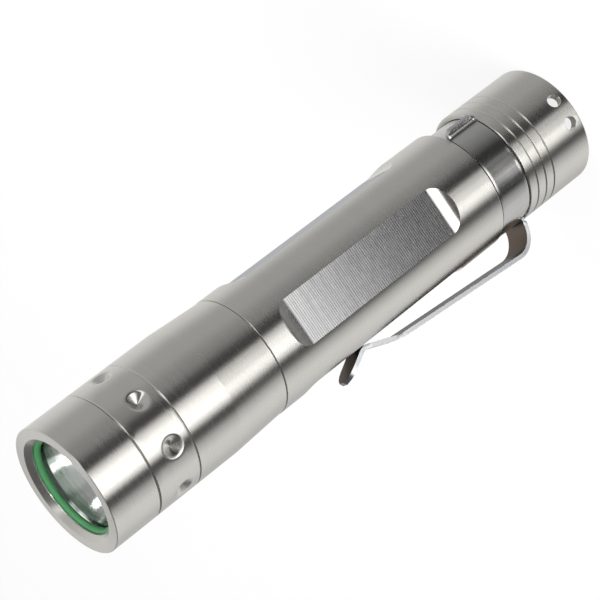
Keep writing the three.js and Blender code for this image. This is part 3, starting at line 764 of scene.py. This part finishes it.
def buildClip(shape):
    middle = shape["middle"]
    rows, across = shape["rows"], shape["across"]
    notch = shape["low"] + shape["relief"]
    line = resample(clipLine(shape), shape["step"])
    lengths = runningLength(line)
    total = lengths[-1]
    root, end = shape["rootWidth"] / 2, shape["tipWidth"] / 2
    mesh = bmesh.new()

    def armRow(point, width, flat):
        row = []
        for j in range(across + 1):
            y = width * (2 * j / across - 1)
            sag = (middle - math.sqrt(middle ** 2 - y ** 2)) * (1 - flat)
            row.append(mesh.verts.new((-(point[0] - sag) * milli, y * milli, point[1] * milli)))
        return row

    heights = [shape["high"] + (notch - shape["high"]) * i / rows for i in range(rows)]
    grid = [armRow((middle, height), root, 0) for height in heights]
    ringRows = len(grid) + 1
    for point, length in zip(line, lengths):
        share = length / total
        width = root + (end - root) * max(0, share - shape["taperStart"]) / (1 - shape["taperStart"])
        if length > total - end:
            inward = length - (total - end)
            width = max(width * shape["tipBlunt"], math.sqrt(max(0, end ** 2 - inward ** 2)))
        flat = min(1, max(0, (length - shape["flatStart"]) / shape["flatLength"]))
        grid.append(armRow(point, width, flat * flat * (3 - 2 * flat)))
    for a, b in zip(grid, grid[1:]):
        for j in range(across):
            mesh.faces.new((a[j], a[j + 1], b[j + 1], b[j]))
    for side in (-1, 1):
        ringSide(mesh, shape, side, [row[0 if side < 0 else across] for row in grid[:ringRows]])
    data = seal("clipStrip", mesh)
    if behindNeck(data, middle).normal.x > 0:
        data.flip_normals()
    piece = newPiece("clipStrip", data, clipSteel, 180)
    # the arm's own faces, which face the body, take the painted-shade steel
    for finish in (clipSteel, clipShadedInside, clipSteel, clipEdge, clipEdge, clipEdge):
        data.materials.append(finish)
    for face in data.polygons:
        onArm = face.center.x < -(middle + shape["armStart"]) * milli
        face.material_index = 2 if onArm or face.center.z > shape["high"] * milli else 0
    thicken = {"thickness": shape["thickness"] * milli, "offset": 0, "use_even_offset": False,
               "material_offset": 1, "material_offset_rim": 4}
    soften = {"width": shape["edge"] * milli, "segments": 3, "limit_method": "ANGLE",
              "angle_limit": math.radians(50)}
    for kind, settings in (("SOLIDIFY", thicken), ("BEVEL", soften)):
        modifier = piece.modifiers.new(kind.lower(), kind)
        for name, value in settings.items():
            setattr(modifier, name, value)
    evenNormals(piece)
    onBody(piece, "clip", "spring_steel", "pocket_clip")


# The highest face on the ring's back, which tells which way the strip faces
def behindNeck(data, middle):
    near = 100  # how much more closeness to the ring counts than height
    return max(data.polygons, key=lambda face: face.center.z - near * abs(face.center.x + middle * milli))


# Half of the ring, from the edge of the arm round to its turned-out end
def ringSide(mesh, shape, side, firstColumn):
    middle = shape["middle"]
    gap = math.radians(shape["gap"])
    first = math.pi - math.asin(shape["rootWidth"] / 2 / middle)
    last = gap + shape["lipRound"] / middle
    steps, lipSteps = shape["ringSteps"], shape["lipSteps"]
    angles = [first + (last - first) * i / steps for i in range(steps + 1)]
    line = [Vector((math.cos(angle), math.sin(angle))) * middle for angle in angles]
    outward = Vector((math.cos(gap), math.sin(gap)))
    start, bendPoint, out = line[-1], outward * middle, outward * (middle + shape["lipRound"])
    shares = [i / lipSteps for i in range(1, lipSteps + 1)]
    line += [start * (1 - t) ** 2 + bendPoint * 2 * t * (1 - t) + out * t * t for t in shares]
    line += [out + outward * (shape["lip"] - shape["lipRound"]) * t for t in shares]
    lengths = runningLength(line)
    count = len(firstColumn) - 1
    previous = firstColumn
    for spot, length in list(zip(line, lengths))[1:]:
        low = shape["low"] + shape["relief"] * max(0, 1 - length / shape["reliefLength"])
        inward = max(0, length - (lengths[-1] - shape["endRound"]))
        inset = shape["endRound"] - math.sqrt(max(0, shape["endRound"] ** 2 - inward ** 2))
        inset = min(inset, shape["endRound"] * shape["endLimit"])
        column = []
        for i in range(count + 1):
            z = (shape["high"] - inset) + (low + 2 * inset - shape["high"]) * i / count
            column.append(mesh.verts.new((spot[0] * milli, side * spot[1] * milli, z * milli)))
        for i in range(count):
            mesh.faces.new((previous[i], column[i], column[i + 1], previous[i + 1]))
        previous = column


buildClip(clipShape)
print("clip built")


# Tail cap: skirt with two lanyard holes, web round the button, three turned lines
capShape = {"radius": 12.0, "skirt": 10.6, "recess": 4.5, "web": 5.5, "buttonHole": 5.0, "pocket": 9.5,
            "pocketTop": 11.55, "threadBore": 10.7, "sealBore": 11.0, "sealFoot": 14.15,
            "lines": (10.1, 12.35, 14.6), "lineWidth": 0.4, "lineDepth": 0.3, "lineEdge": 0.06,
            "lineRoot": 0.05, "edge": 0.28, "rimRound": 0.15, "boreRound": 0.1, "recessRound": 0.3,
            "hole": 1.32, "holeHeight": 2.6, "holeAngles": (-73.3, -98.3), "holeReach": 4, "holeFlare": 0.12,
            "holeSides": 48, "sides": 224}


# A lanyard hole's cutter, with a flare that breaks the hole's outer edge
def drill(shape, angle):
    radius, flare = shape["hole"], shape["holeFlare"]
    inner, outer = shape["radius"] - shape["holeReach"], shape["radius"]
    mesh = bmesh.new()
    points = [(0, inner), (radius, inner), (radius, outer - flare), (radius + 2 * flare, outer + flare)]
    sweepRows(mesh, points + [(0, outer + flare)], shape["holeSides"], False)
    data = seal("drill", mesh)
    lift = Matrix.Translation((0, 0, shape["holeHeight"] * milli))
    around = Matrix.Rotation(math.radians(angle), 4, "Z")
    data.transform(around @ lift @ Matrix.Rotation(math.pi / 2, 4, "Y"))
    cutter = bpy.data.objects.new("drill", data)
    scene.collection.objects.link(cutter)
    return cutter


def buildCap(shape):
    low, high = span("tailcap")
    radius = shape["radius"]
    half = shape["lineWidth"] / 2
    edge, root = shape["lineEdge"], shape["lineRoot"]
    points = [(shape["skirt"], low, shape["rimRound"]), (radius, low, shape["edge"])]
    for line in shape["lines"]:
        points += [
            (radius, line - half, edge),
            (radius - shape["lineDepth"], line, root),
            (radius, line + half, edge),
        ]
    points += [
        (radius, high, shape["edge"]),
        (shape["sealBore"], high, shape["boreRound"]),
        (shape["sealBore"], shape["sealFoot"]),
        (shape["threadBore"], shape["sealFoot"]),
        (shape["threadBore"], shape["pocketTop"]),
        (shape["pocket"], shape["pocketTop"]),
        (shape["pocket"], shape["web"]),
        (shape["buttonHole"], shape["web"]),
        (shape["buttonHole"], shape["recess"], shape["rimRound"]),
        (shape["skirt"], shape["recess"], shape["recessRound"]),
    ]
    piece = turned("tailCap", points, steel, shape["sides"])
    for angle in shape["holeAngles"]:
        carve(piece, drill(shape, angle))
    shadeByAngle(piece.data, 28)
    onBody(piece, "tail", "steel", "tailcap")


buildCap(capShape)
print("tail cap built")


# Button cover: a rubber dome on a flange
bootShape = {"radius": 4.7, "top": 1.6, "rise": 1.0, "wall": 0.9, "flange": 9.4, "flangeHeight": 0.8,
             "domeSteps": 12, "wallSteps": 8, "pressed": 1.2, "sides": 96}


def buildBoot(shape):
    high = span("switch_boot")[1]
    radius, wall, steps, rows = shape["radius"], shape["wall"], shape["domeSteps"], shape["wallSteps"]
    inner = radius - wall
    flange = high - shape["flangeHeight"]
    outerFoot = shape["top"] + shape["rise"]
    innerFoot = outerFoot + wall

    def dome(width, top):
        turns = [math.pi / 2 * i / steps for i in range(steps + 1)]
        return [(width * math.sin(turn), top + shape["rise"] * (1 - math.cos(turn))) for turn in turns]

    points = dome(radius, shape["top"])
    points += [(radius, outerFoot + (flange - outerFoot) * i / rows) for i in range(1, rows + 1)]
    points += [(shape["flange"], flange), (shape["flange"], high), (inner, high)]
    points += [(inner, high + (innerFoot - high) * i / rows) for i in range(1, rows)]
    points += reversed(dome(inner, shape["top"] + wall))
    piece = turned("buttonCover", points, blackRubber, shape["sides"], False, 50)
    piece.modifiers.clear()
    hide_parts("switch_boot")
    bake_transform(piece)


buildBoot(bootShape)
print("button cover built")


# Light source: a ceramic base, a square of phosphor and a clear dome
ledShape = {"width": 4.8, "base": 0.6, "baseEdge": 0.08, "die": 2.6, "dieHeight": 0.12, "dieEdge": 0.03,
            "dome": 1.9, "domeFoot": 0.13, "domeSteps": 16, "footSteps": 2, "sides": 64}


def roundedBlock(name, width, low, high, material, edge):
    mesh = bmesh.new()
    bmesh.ops.create_cube(mesh, size=1)
    middle = Vector((0, 0, (low + high) / 2))
    for vertex in mesh.verts:
        vertex.co = (vertex.co * Vector((width, width, high - low)) + middle) * milli
    bmesh.ops.bevel(mesh, geom=mesh.edges[:], offset=edge * milli, segments=3, affect="EDGES", profile=0.5)
    return evenNormals(newPiece(name, seal(name, mesh), material, 40))


def buildLed(shape):
    low, high = span("led_emitter")
    top = low + shape["base"]
    base = roundedBlock("ledBase", shape["width"], low, top, whiteResin, shape["baseEdge"])
    onBody(base, "head", "white_resin", "led_emitter")
    die = roundedBlock("ledPhosphor", shape["die"], top, top + shape["dieHeight"], phosphor, shape["dieEdge"])
    onBody(die, "head", "phosphor")
    radius, steps, foot = shape["dome"], shape["domeSteps"], top + shape["domeFoot"]
    turns = [math.pi / 2 * i / steps for i in range(shape["footSteps"], steps)]
    curve = [(radius * math.cos(turn), top + radius * math.sin(turn)) for turn in turns]
    profile = [(0, foot), (radius, foot)] + curve + [(0, high)]
    dome = turned("ledDome", profile, glass, shape["sides"], False, 50)
    onBody(dome, "head", "clear_glass")


buildLed(ledShape)
print("light source built")


# Springs: round wire wound in a cone or a cylinder
springShapes = {
    "tail_spring": {"foot": 6.4, "top": 3.6, "wire": 0.9, "curls": 5, "body": "tail", "finish": bronze,
                    "slot": "bronze"},
    "driver_spring": {"foot": 2.6, "top": 4.2, "wire": 0.7, "curls": 4, "body": "head", "finish": bronze,
                      "slot": "bronze"},
    "switch_spring": {"foot": 2.4, "top": 2.4, "wire": 0.2, "curls": 2, "body": None, "finish": clipSteel,
                      "slot": "spring_steel"},
}
wireMesh = {"stepsPerCurl": 32, "sides": 12}


def buildSpring(node, shape):
    low, high = span(node)
    wire, curls = shape["wire"], shape["curls"]
    steps, sides = wireMesh["stepsPerCurl"] * curls, wireMesh["sides"]
    middle = []
    for i in range(steps + 1):
        share = i / steps
        angle = 2 * math.pi * curls * share
        radius = shape["foot"] + (shape["top"] - shape["foot"]) * share
        height = low + wire / 2 + (high - low - wire) * share
        middle.append(Vector((radius * math.cos(angle), radius * math.sin(angle), height)))
    mesh = bmesh.new()
    rings = []
    for i, point in enumerate(middle):
        along = (middle[min(i + 1, steps)] - middle[max(i - 1, 0)]).normalized()
        out = Vector((point.x, point.y, 0)).normalized()
        up = along.cross(out).normalized()
        side = up.cross(along)
        angles = [2 * math.pi * k / sides for k in range(sides)]
        spots = [point + (side * math.cos(a) + up * math.sin(a)) * wire / 2 for a in angles]
        rings.append([mesh.verts.new(spot * milli) for spot in spots])
    for here, there in zip(rings, rings[1:]):
        for k in range(sides):
            n = (k + 1) % sides
            mesh.faces.new((here[k], here[n], there[n], there[k]))
    mesh.faces.new(rings[0])
    mesh.faces.new(rings[-1])
    name = node.replace("_s", "S")
    piece = newPiece(name, seal(name, mesh), shape["finish"], 60)
    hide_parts(node)
    if shape["body"]:
        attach(piece, shape["body"])
    else:
        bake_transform(piece)


for node, shape in springShapes.items():
    buildSpring(node, shape)
print("springs wound")


# Cell in its wrap, its raised contact, and the white ring round the light source
cellShape = {"wrap": 0.35, "reach": 1.6, "wrapRound": 0.1, "flange": 1.0, "flangeHeight": 0.3,
             "flangeRound": 0.05, "coneHeight": 0.6, "coneRound": 0.2, "contactRound": 0.35, "ringWall": 0.9,
             "ringRound": 0.15, "sides": 128, "contactSides": 64, "ringSides": 96}


def buildCell(shape):
    low, high = span("battery_cell")
    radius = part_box("battery_cell")[1].x / milli
    edge, inner, soft = shape["wrap"], radius - shape["reach"], shape["wrapRound"]
    cell = turned("batteryCell", [
        (0, low + edge),
        (inner, low + edge),
        (inner, low, soft),
        (radius, low, edge),
        (radius, high, edge),
        (inner, high, soft),
        (inner, high - edge),
        (0, high - edge),
    ], cellWrap, shape["sides"], False)
    onBody(cell, "cell", "cell_wrap", "battery_cell")
    low, high = span("battery_contact")
    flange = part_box("battery_contact")[1].x / milli
    top = flange - shape["flange"]
    contact = turned("batteryContact", [
        (0, low),
        (flange, low),
        (flange, low + shape["flangeHeight"], shape["flangeRound"]),
        (top, low + shape["coneHeight"], shape["coneRound"]),
        (top, high, shape["contactRound"]),
        (0, high),
    ], clipSteel, shape["contactSides"], False)
    onBody(contact, "cell", "spring_steel", "battery_contact")
    low, high = span("led_gasket")
    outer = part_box("led_gasket")[1].x / milli
    wall, soft = outer - shape["ringWall"], shape["ringRound"]
    section = [(wall, low), (outer, low), (outer, high, soft), (wall, high, soft)]
    ring = turned("ledGasket", section, whiteResin, shape["ringSides"])
    onBody(ring, "head", "white_resin", "led_gasket")


buildCell(cellShape)
print("cell built")


# The other inner pieces keep their solids and get their finish
innerFinishes = {
    "led_board": whiteResin, "led_wire_red": redSleeve, "led_wire_black": blackRubber, "pill": aluminium,
    "driver_board": boardGreen, "driver_ring": bronze, "boot_washer": aluminium, "switch_plunger": whiteResin,
    "switch_housing": blackResin, "switch_board": boardGreen, "switch_ring": bronze,
}
for node, finish in innerFinishes.items():
    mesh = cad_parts[node].data
    mesh.materials.clear()
    mesh.materials.append(finish)
print("inner pieces finished")


# Studio: a round white floor, soft panels and flags, two soft lamps
studio = {"floorRadius": 1.6, "floorSides": 96, "facing": -83.3, "floorGlow": 0.82, "ambient": 0.55,
          "horizonLow": 0.02, "horizonHigh": 0.14}
lamps = {
    "keyPanel": {"place": (-0.35, -0.45, 0.75), "power": 7},
    "fillPanel": {"place": (0.6, -0.2, 0.5), "power": 3},
}
lampAim, lampSize = (0, 0, 0.06), 0.5
# what the metal mirrors, by degrees round the object from the camera's side
surround = ((-180, 0.95), (-158, 0.6), (-138, 0.66), (-115, 0.9), (-92, 0.96), (-72, 0.55), (-62, 0.05),
            (-49, 0.04), (7, 0.04), (22, 0.045), (42, 0.28), (66, 0.46), (96, 0.46), (124, 0.8), (160, 0.85),
            (180, 0.95))
strip = ((-49, 0), (-43, 0.5), (-34, 1), (-12, 1), (0, 0.4), (6, 0))
stripLevel = 2.6
# and by degrees of elevation
stripRise = ((-60, 0.1), (-34, 0.05), (-32, 0.0), (-30, 0.02), (-28, 0.5), (-25.5, 1.0), (7, 1.0), (12, 0.0))
# a ledge below the strip, left out where the flat's ends would mirror it
ledge = ((-49, 0), (-43, 0.5), (-34, 1), (-25, 1), (-21, 0), (-5, 0), (-2, 0.5), (0, 0.4), (6, 0))
ledgeRise = ((-44, 0), (-42.5, 1), (-39, 1), (-37.5, 0))
ledgeLevel = 4.0
# the room above the horizon, again round the object
room = ((-180, 0.8), (-165, 0.55), (-150, 0.14), (-70, 0.12), (0, 0.16), (18, 0.2), (25, 1.8), (34, 1.8),
        (42, 0.5), (90, 0.55), (120, 0.75), (180, 0.8))


def buildFloor(settings):
    mesh = bmesh.new()
    sides, radius = settings["floorSides"], settings["floorRadius"]
    bmesh.ops.create_circle(mesh, cap_ends=True, segments=sides, radius=radius)
    data = bpy.data.meshes.new("floor")
    mesh.to_mesh(data)
    mesh.free()
    floor = bpy.data.objects.new("floor", data)
    scene.collection.objects.link(floor)
    finish = Finish("floorPaper")
    fibre = finish.noise(40, 3)
    finish.give(Base_Color=finish.shade(fibre, grey(1), (0.3, 0.86), (0.7, 0.9)), Roughness=0.9)
    tree = finish.tree
    path = tree.nodes.new("ShaderNodeLightPath")
    glow = finish.node("Emission", {}, {"Color": (1, 1, 1, 1), "Strength": 1.0})
    share = Val(tree, path.outputs["Is Camera Ray"]) * settings["floorGlow"]
    mixed = finish.node("MixShader", {}, {0: share, 1: Val(tree, finish.shader.outputs[0]), 2: glow})
    tree.links.new(mixed.socket, tree.nodes["Material Output"].inputs["Surface"])
    data.materials.append(finish.material)
    floor.visible_glossy = False
    floor.visible_transmission = False


def aroundRamp(tree, angle, stops):
    top = max(level for degrees, level in stops)
    ramp = [((degrees + 180) / 360, grey(level / top)) for degrees, level in stops]
    colour = make(tree, "ValToRGB", {"stops": ramp}, {"Fac": angle})
    return make(tree, "RGBToBW", {}, {0: colour}) * top


def buildWorld(settings):
    world = bpy.data.worlds.new("studio")
    scene.world = world
    world.use_nodes = True
    tree = world.node_tree
    place = make(tree, "TexCoord", output="Generated")
    facing = math.radians(-settings["facing"])
    turn = make(tree, "VectorRotate", {"rotation_type": "Z_AXIS"}, {"Vector": place, "Angle": facing})
    split = tree.nodes.new("ShaderNodeSeparateXYZ")
    tree.links.new(turn.socket, split.inputs[0])
    x, y, z = (Val(tree, socket) for socket in split.outputs)
    around = y.maths("ARCTAN2", y, x) / (2 * math.pi) + 0.5
    rise = z.maths("ARCSINE", z) / (2 * math.pi) + 0.5
    below = aroundRamp(tree, around, surround)
    bright = aroundRamp(tree, around, strip) * aroundRamp(tree, rise, stripRise) * stripLevel
    lower = aroundRamp(tree, around, ledge) * aroundRamp(tree, rise, ledgeRise) * ledgeLevel
    above = aroundRamp(tree, around, room)
    smooth = {"interpolation_type": "SMOOTHSTEP"}
    ends = {"Value": z, "From Min": settings["horizonLow"], "From Max": settings["horizonHigh"]}
    lifted = make(tree, "MapRange", smooth, ends)
    level = below * (1 - lifted) + above * lifted + bright + lower
    path = tree.nodes.new("ShaderNodeLightPath")
    camera, glossy = (Val(tree, path.outputs[name]) for name in ("Is Camera Ray", "Is Glossy Ray"))
    other = (1 - glossy) * (1 - camera)
    strength = glossy * level + camera + other * settings["ambient"]
    plug(tree, tree.nodes["Background"].inputs["Color"], (1, 1, 1, 1))
    plug(tree, tree.nodes["Background"].inputs["Strength"], strength)


def addLamp(name, place, power):
    data = bpy.data.lights.new(name, "AREA")
    data.size = lampSize
    data.energy = power
    lamp = bpy.data.objects.new(name, data)
    scene.collection.objects.link(lamp)
    lamp.location = place
    lamp.rotation_euler = (Vector(lampAim) - Vector(place)).to_track_quat("-Z", "Y").to_euler()
    lamp.visible_glossy = False


buildFloor(studio)
buildWorld(studio)
for name, lamp in lamps.items():
    addLamp(name, lamp["place"], lamp["power"])
print("studio lit")


# Camera at the photograph's place
cameraView = {"azimuth": -83.548, "elevation": 28.257, "roll": -127.566, "distance": 0.40184,
              "aim": (0.00152, 0.00017, 0.06398), "lens": 136.53, "sensor": 36, "nearest": 0.01}


def addCamera(view):
    data = bpy.data.cameras.new("camera")
    data.lens = view["lens"]
    data.sensor_width = view["sensor"]
    data.sensor_fit = "HORIZONTAL"
    data.clip_start = view["nearest"]
    camera = bpy.data.objects.new("camera", data)
    scene.collection.objects.link(camera)
    around, up = math.radians(view["azimuth"]), math.radians(view["elevation"])
    back = Vector((math.cos(up) * math.cos(around), math.cos(up) * math.sin(around), math.sin(up)))
    right = Vector((0, 0, 1)).cross(back).normalized()
    axes = Matrix((right, back.cross(right), back)).transposed()
    turn = axes @ Matrix.Rotation(math.radians(view["roll"]), 3, "Z")
    camera.matrix_world = Matrix.Translation(Vector(view["aim"]) + back * view["distance"]) @ turn.to_4x4()
    scene.camera = camera


addCamera(cameraView)
scene.view_settings.view_transform = "Standard"
print("camera set")
